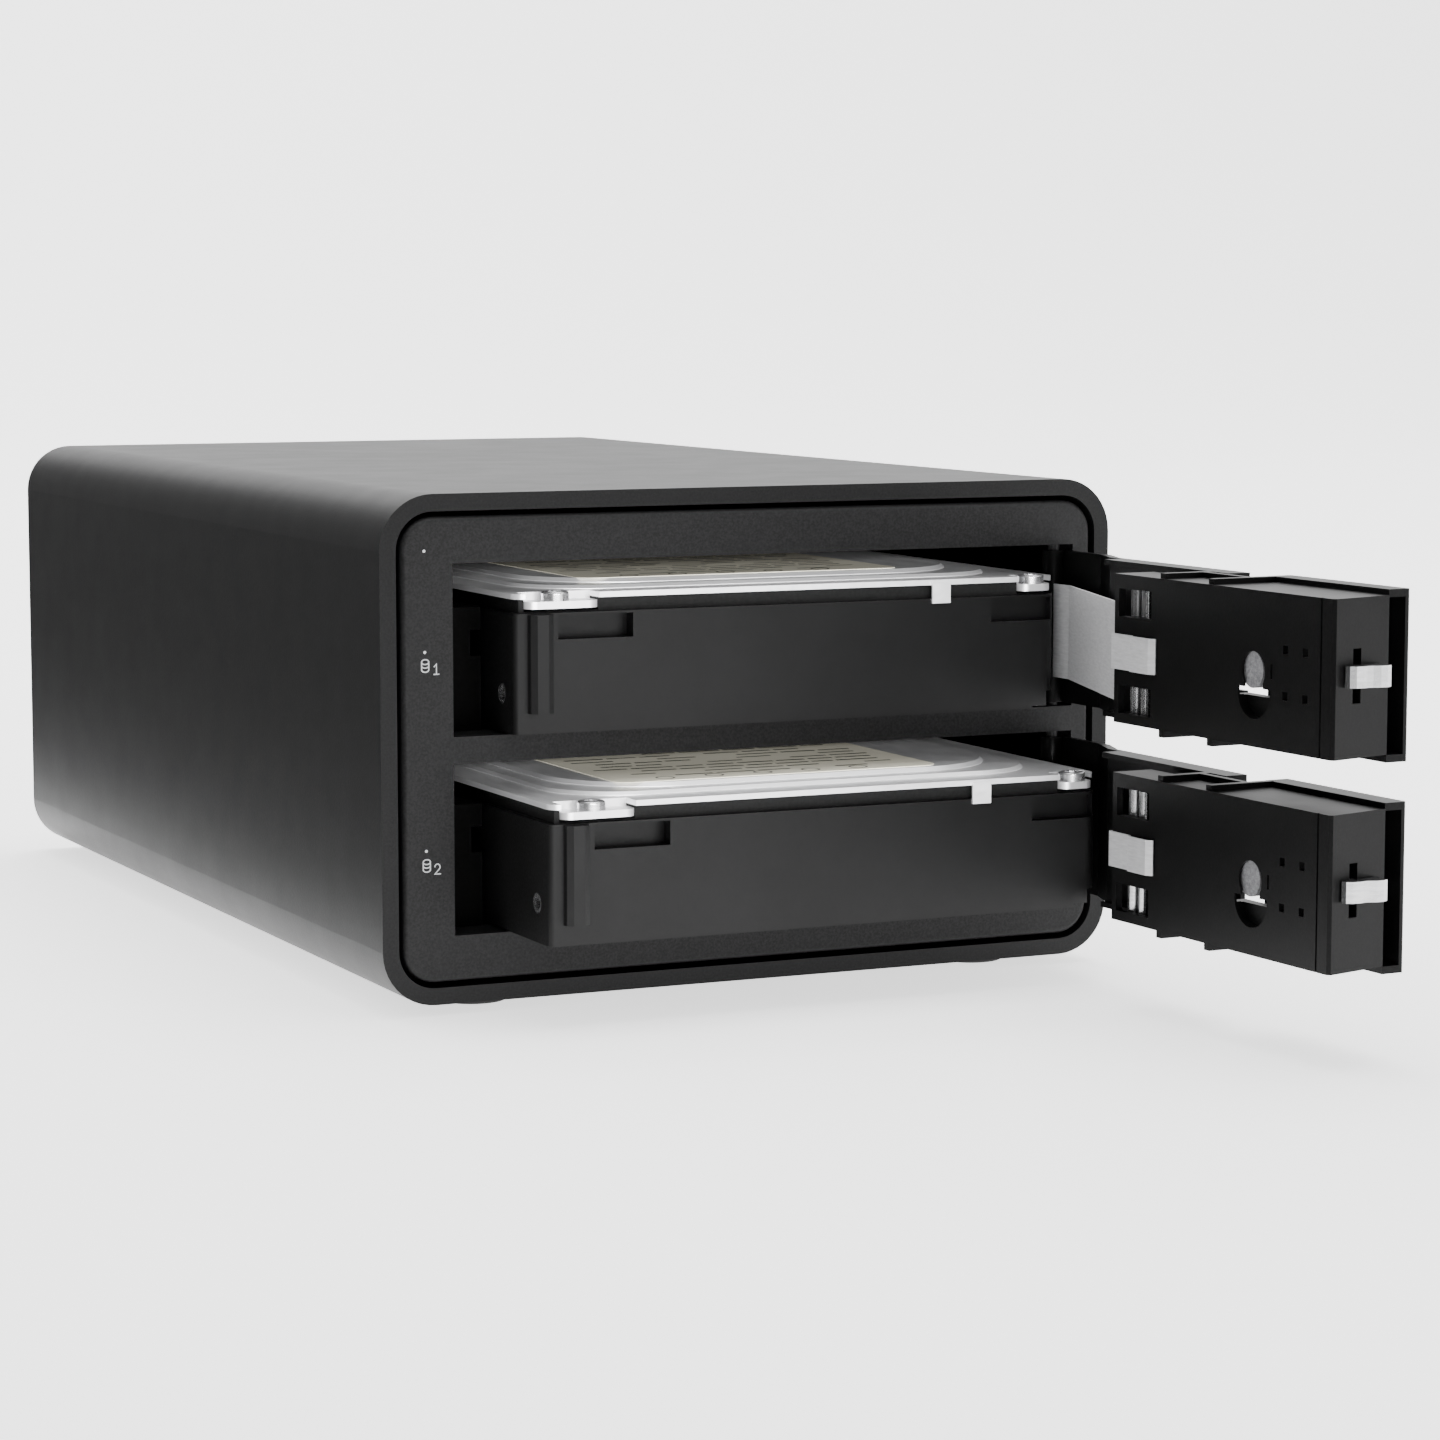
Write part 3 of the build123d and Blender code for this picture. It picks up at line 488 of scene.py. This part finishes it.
def area_light(name, place, target, size, power, lit=None):
    """A rectangular lamp; with a list of nodes in lit it lights only those."""
    data = bpy.data.lights.new(name, "AREA")
    data.shape = "RECTANGLE"
    data.size, data.size_y = size
    data.energy = power
    light = bpy.data.objects.new(name, data)
    light.location = place
    light.rotation_euler = (Vector(target) - Vector(place)).to_track_quat("-Z", "Y").to_euler()
    bpy.context.scene.collection.objects.link(light)
    if lit:
        group = bpy.data.collections.new(name + "_lit")
        for node in lit:
            group.objects.link(NODES[node])
        light.light_linking.receiver_collection = group


def sweep_profile():
    """Points (y, z) along the floor, round the bend and up the backdrop."""
    turns = [math.radians(10 * k) for k in range(1, 10)]
    bend = [(SWEEP_BEND + SWEEP_RADIUS * math.sin(turn), SWEEP_RADIUS - SWEEP_RADIUS * math.cos(turn))
            for turn in turns]
    return [(SWEEP_FRONT, 0.0), (SWEEP_BEND, 0.0)] + bend + [(SWEEP_BEND + SWEEP_RADIUS, SWEEP_TOP)]


def add_stage():
    """Pale floor that curves up into a backdrop behind the object."""
    mesh = bmesh.new()
    rows = [[mesh.verts.new((x, y, z)) for x in (-SWEEP_HALF, SWEEP_HALF)] for y, z in sweep_profile()]
    for (a, b), (c, d) in zip(rows, rows[1:]):
        mesh.faces.new([a, b, d, c])
    data = bpy.data.meshes.new("studio_sweep")
    mesh.to_mesh(data)
    mesh.free()
    sweep = bpy.data.objects.new("studio_sweep", data)
    for face in data.polygons:
        face.use_smooth = True
    bpy.context.scene.collection.objects.link(sweep)
    shader = Shader("floor_paper", (0.96, 0.96, 0.96), 0.9)
    shader.surface.inputs[SHINE].default_value = 0.1
    shader.surface.inputs[GLOW_COLOUR].default_value = (1, 1, 1, 1)
    shader.surface.inputs[GLOW].default_value = FLOOR_GLOW
    shader.bump(shader.noise(300, 2.0), 0.1, 0.05)
    data.materials.append(shader.material)


def add_world():
    """Even white surroundings."""
    world = bpy.data.worlds.new("studio")
    world.use_nodes = True
    background = world.node_tree.nodes["Background"]
    background.inputs["Color"].default_value = (1, 1, 1, 1)
    background.inputs["Strength"].default_value = WORLD_STRENGTH
    bpy.context.scene.world = world


def reflection_card(name, corners, glow):
    """A card that only shows in reflections, as a studio flag or scrim does."""
    mesh = bpy.data.meshes.new(name)
    mesh.from_pydata(corners, [], [(0, 1, 2, 3)])
    card = bpy.data.objects.new(name, mesh)
    bpy.context.scene.collection.objects.link(card)
    shader = Shader(name + "_cloth", (0.002, 0.002, 0.002), 1.0)
    shader.surface.inputs[SHINE].default_value = 0.0
    shader.surface.inputs[GLOW_COLOUR].default_value = (1, 1, 1, 1)
    shader.surface.inputs[GLOW].default_value = glow
    mesh.materials.append(shader.material)
    card.visible_camera = False
    card.visible_diffuse = False
    card.visible_shadow = False
    card.visible_transmission = False


add_camera()
add_stage()
add_world()
for card_name, (card_corners, card_glow) in CARDS.items():
    reflection_card(card_name, card_corners, card_glow)
area_light("key_top", (0.2, 0.15, 1.2), (0, 0.02, 0.05), (0.9, 0.9), 16)
area_light("front_right", (0.75, -1.0, 0.55), (0, -0.05, 0.05), (0.5, 0.7), 3)
area_light("lid_front", (-0.25, -1.65, 0.22), (0, -0.05, 0.05), (1.4, 0.16), 90, BRIGHT_NODES)
area_light("bezel_edge", (-0.15, -0.75, 0.9), (0, FRONT_Y, 0.05), (1.2, 0.25), 6, ["front_bezel"])
area_light("backdrop_wash", (0, 0.9, 1.6), (0, 2.2, 0.6), (2.5, 0.6), 30)
